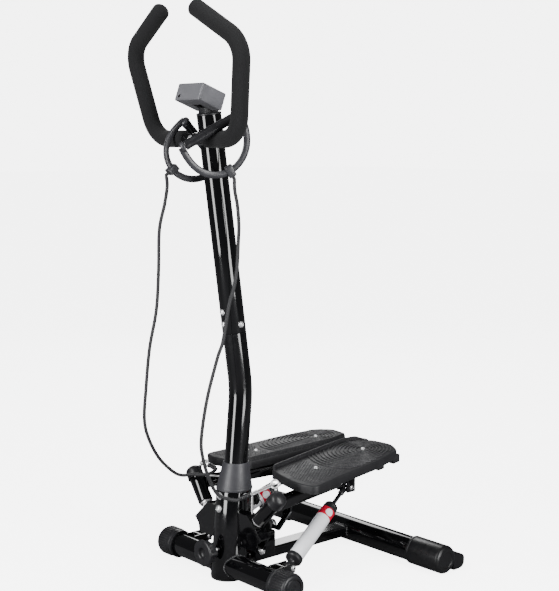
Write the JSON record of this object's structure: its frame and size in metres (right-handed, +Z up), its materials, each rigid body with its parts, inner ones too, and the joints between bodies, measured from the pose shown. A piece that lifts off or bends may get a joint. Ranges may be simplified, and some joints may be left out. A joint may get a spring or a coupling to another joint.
{
  "type": "twist stepper",
  "caption": "Twist stepper with a bent post, open handlebar with foam grips, small monitor, tilted pedals on hydraulic dampers and stretch bands.",
  "frame": {"origin": "on the floor at the middle of the base tube's foot plug", "axes": "+X to the right-hand pedal, +Y rearwards from the post to the pedals, +Z up"},
  "size_m": [0.6, 0.584, 1.1969],
  "materials": {
    "black_paint": "gloss black powder coat",
    "grey_plastic": "satin dark grey",
    "cap_plastic": "fine matt black",
    "tread_plastic": "moulded ribs and dots, charcoal",
    "foam": "closed-cell foam, dull",
    "rubber": "braided or moulded rubber",
    "chrome": "polished",
    "zinc": "bright zinc",
    "white_paint": "white with a red band and a plain label",
    "silver_plastic": "silver-grey",
    "screen": "dark display window",
    "grip_plastic": "gloss black",
    "strap_plastic": "dark grey"
  },
  "bodies": {
    "frame": {"front_stabilizer": "black_paint", "base_tube": "black_paint", "base_tube_plug": "cap_plastic", "post_collar": "grey_plastic", "post_socket_bush": "cap_plastic", "post_lower": "black_paint", "post_upper": "black_paint", "monitor_neck": "cap_plastic", "frame_rail": "black_paint", "rear_stabilizer": "black_paint", "stop_bracket": "black_paint", "handlebar_tube": "black_paint", "handlebar_bolt": "zinc", "monitor_housing": "silver_plastic", "monitor_screen": "screen", "base_bolt_upper": "zinc", "base_bolt_lower": "zinc", "base_bolt_side": "zinc", "post_bolt_upper": "zinc", "post_bolt_lower": "zinc", "post_bolt_side": "zinc", "equalizer_cable": "zinc", "front_cap_left": "cap_plastic", "front_cap_right": "cap_plastic", "rear_cap_left": "cap_plastic", "rear_cap_right": "cap_plastic", "pivot_bracket_left": "black_paint", "pivot_bracket_right": "black_paint", "pivot_pin_left": "zinc", "pivot_pin_right": "zinc", "stop_buffer_left": "rubber", "stop_buffer_right": "rubber", "damper_bracket_left": "black_paint", "damper_bracket_right": "black_paint", "foam_grip_left": "foam", "foam_grip_right": "foam", "band_strap_left": "strap_plastic", "band_strap_right": "strap_plastic", "band_cord_left": "rubber", "band_cord_right": "rubber"},
    "pedal_right_unit": {"pedal_right": "tread_plastic", "pedal_arm_right": "black_paint", "pivot_sleeve_right": "black_paint", "sleeve_cap_right": "cap_plastic", "band_hook_right": "zinc"},
    "pedal_left_unit": {"pedal_left": "tread_plastic", "pedal_arm_left": "black_paint", "pivot_sleeve_left": "black_paint", "sleeve_cap_left": "cap_plastic", "band_hook_left": "zinc"},
    "damper_right_barrel": {"damper_barrel_right": "white_paint"},
    "damper_left_barrel": {"damper_barrel_left": "white_paint"},
    "damper_right_rod": {"damper_rod_right": "chrome"},
    "damper_left_rod": {"damper_rod_left": "chrome"},
    "knob": {"adjuster_knob": "cap_plastic"},
    "carriage": {"pulley_carriage": "zinc"},
    "pulley": {"cable_pulley": "cap_plastic"},
    "button": {"monitor_button": "grey_plastic"},
    "grip_right": {"band_grip_right": "grip_plastic"},
    "grip_left": {"band_grip_left": "grip_plastic"}
  },
  "joints": [
    {"name": "pedal_right_pivot", "type": "hinge", "parent": "frame", "child": "pedal_right_unit", "pos_m": [0.12, 0.018, 0.176], "axis": [0.6772, 0.09, 0.7302], "range_deg": [-13, 13], "deforming": ["band_cord_right", "equalizer_cable"]},
    {"name": "pedal_left_pivot", "type": "hinge", "parent": "frame", "child": "pedal_left_unit", "pos_m": [-0.12, 0.018, 0.176], "axis": [-0.6772, 0.09, 0.7302], "range_deg": [-13, 13], "deforming": ["band_cord_left"]},
    {"name": "damper_right_swing", "type": "hinge", "parent": "frame", "child": "damper_right_barrel", "pos_m": [0.1406, 0.0513, 0.0485], "axis": [0.5786, 0.0918, 0.8104], "range_deg": [-12.6, 12.6]},
    {"name": "damper_right_stroke", "type": "slide", "parent": "damper_right_barrel", "child": "damper_right_rod", "axis": [-0.2313, 0.8614, 0.4523], "range_m": [-0.024, 0.024]},
    {"name": "damper_left_swing", "type": "hinge", "parent": "frame", "child": "damper_left_barrel", "pos_m": [-0.1406, 0.0513, 0.0485], "axis": [-0.5786, 0.0918, 0.8104], "range_deg": [-12.6, 12.6]},
    {"name": "damper_left_stroke", "type": "slide", "parent": "damper_left_barrel", "child": "damper_left_rod", "axis": [0.2313, 0.8614, 0.4523], "range_m": [-0.024, 0.024]},
    {"name": "knob_turn", "type": "hinge", "parent": "frame", "child": "knob", "pos_m": [0, -0.068, 0.0665], "axis": [0, 1, 0], "range_deg": [-540, 540]},
    {"name": "carriage_slide", "type": "slide", "parent": "frame", "child": "carriage", "axis": [0, 1, 0], "range_m": [-0.0023, 0.0023]},
    {"name": "pulley_turn", "type": "hinge", "parent": "carriage", "child": "pulley", "pos_m": [0, 0.0755, 0.16], "axis": [0, 1, 0], "range_deg": [-64, 64]},
    {"name": "button_press", "type": "slide", "parent": "frame", "child": "button", "axis": [0, -0.342, -0.9397], "range_m": [0, 0.0012], "stiffness_N_per_m": 400},
    {"name": "grip_right_spin", "type": "hinge", "parent": "frame", "child": "grip_right", "pos_m": [0.0758, -0.0982, 0.94685], "axis": [0.4742, 0.7206, 0.5058], "continuous": true},
    {"name": "grip_left_spin", "type": "hinge", "parent": "frame", "child": "grip_left", "pos_m": [-0.05, -0.0225, 0.9215], "axis": [0, 0.7071, -0.7071], "continuous": true}
  ],
  "couplings": [
    {"joint": "pedal_left_pivot", "follows": "pedal_right_pivot", "ratio": 1},
    {"joint": "damper_right_swing", "follows": "pedal_right_pivot", "ratio": 0.9615},
    {"joint": "damper_left_swing", "follows": "pedal_right_pivot", "ratio": 0.9615},
    {"joint": "damper_right_stroke", "follows": "pedal_right_pivot", "m_per_rad": 0.1043},
    {"joint": "damper_left_stroke", "follows": "pedal_right_pivot", "m_per_rad": -0.1043},
    {"joint": "pulley_turn", "follows": "pedal_right_pivot", "ratio": -4.82},
    {"joint": "carriage_slide", "follows": "knob_turn", "m_per_rad": 0.0002387}
  ]
}
